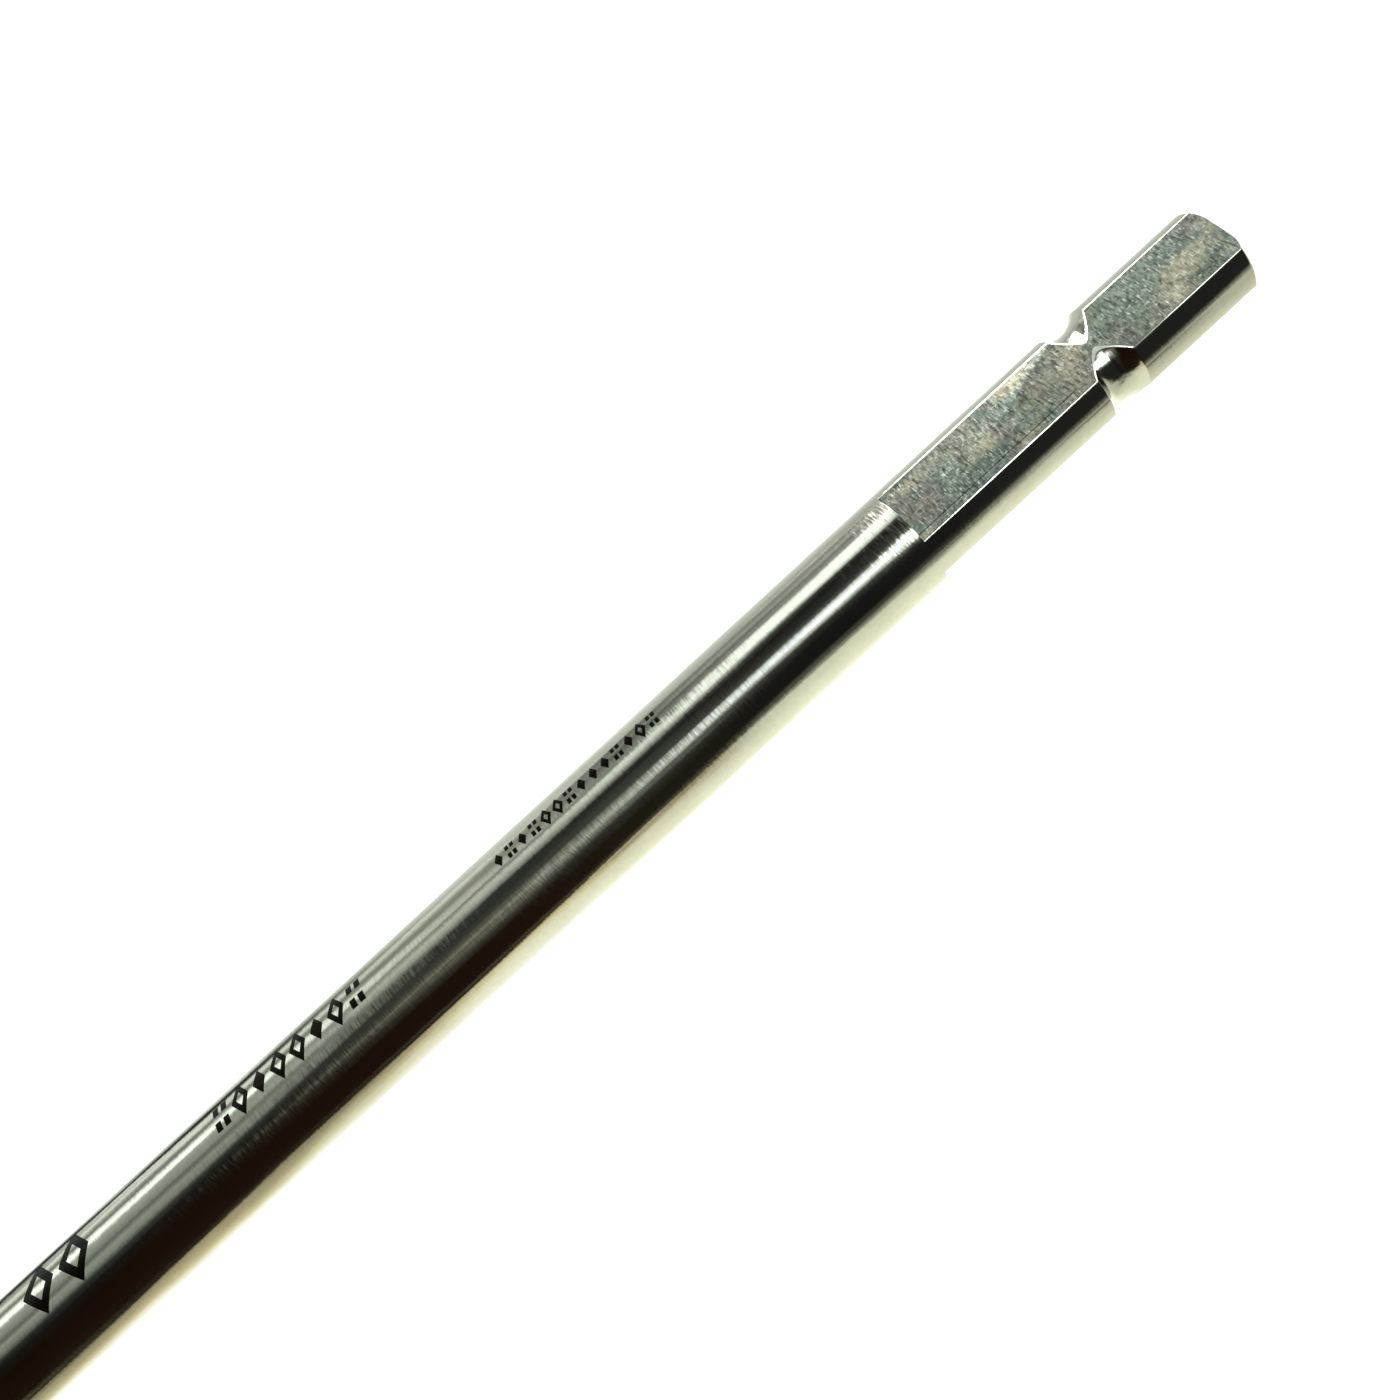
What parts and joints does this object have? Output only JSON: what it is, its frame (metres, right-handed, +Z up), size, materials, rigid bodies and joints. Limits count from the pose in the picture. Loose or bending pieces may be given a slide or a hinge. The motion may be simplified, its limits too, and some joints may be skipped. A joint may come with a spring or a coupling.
{
  "type": "center punch",
  "caption": "Slim round steel centre punch with a flat-sided quick-connect drive shank, a detent groove and a spring-loaded centring sleeve around its point.",
  "frame": {"origin": "on the table under the middle of the tool", "axes": "+X along the tool towards the drive shank, the point at -X; +Z up from the table"},
  "size_m": [0.176, 0.0124, 0.0118],
  "materials": {
    "polished_steel": "bright polished stainless steel",
    "satin_steel": "satin bead-blasted stainless steel",
    "hardened_steel": "ground hardened stainless steel",
    "spring_steel": "drawn stainless spring wire",
    "guide_plastic": "natural bearing-grade plastic"
  },
  "bodies": {
    "punch": {"drive_shaft": "polished_steel", "punch_point": "hardened_steel", "point_lock_pin": "hardened_steel", "rear_spring_washer": "spring_steel", "return_spring": "spring_steel"},
    "sleeve": {"centering_sleeve": "satin_steel", "sleeve_nose": "satin_steel", "front_spring_washer": "spring_steel", "rear_bushing": "guide_plastic", "front_bushing": "guide_plastic", "grip_collar": "satin_steel", "guide_pins": "hardened_steel", "collar_set_screws": "hardened_steel"}
  },
  "joints": [
    {"name": "sleeve_slide", "type": "slide", "parent": "punch", "child": "sleeve", "axis": [1, 0, 0], "range_m": [0, 0.01], "stiffness_N_per_m": 830, "springref_m": -0.0086, "deforming": ["return_spring"]}
  ]
}
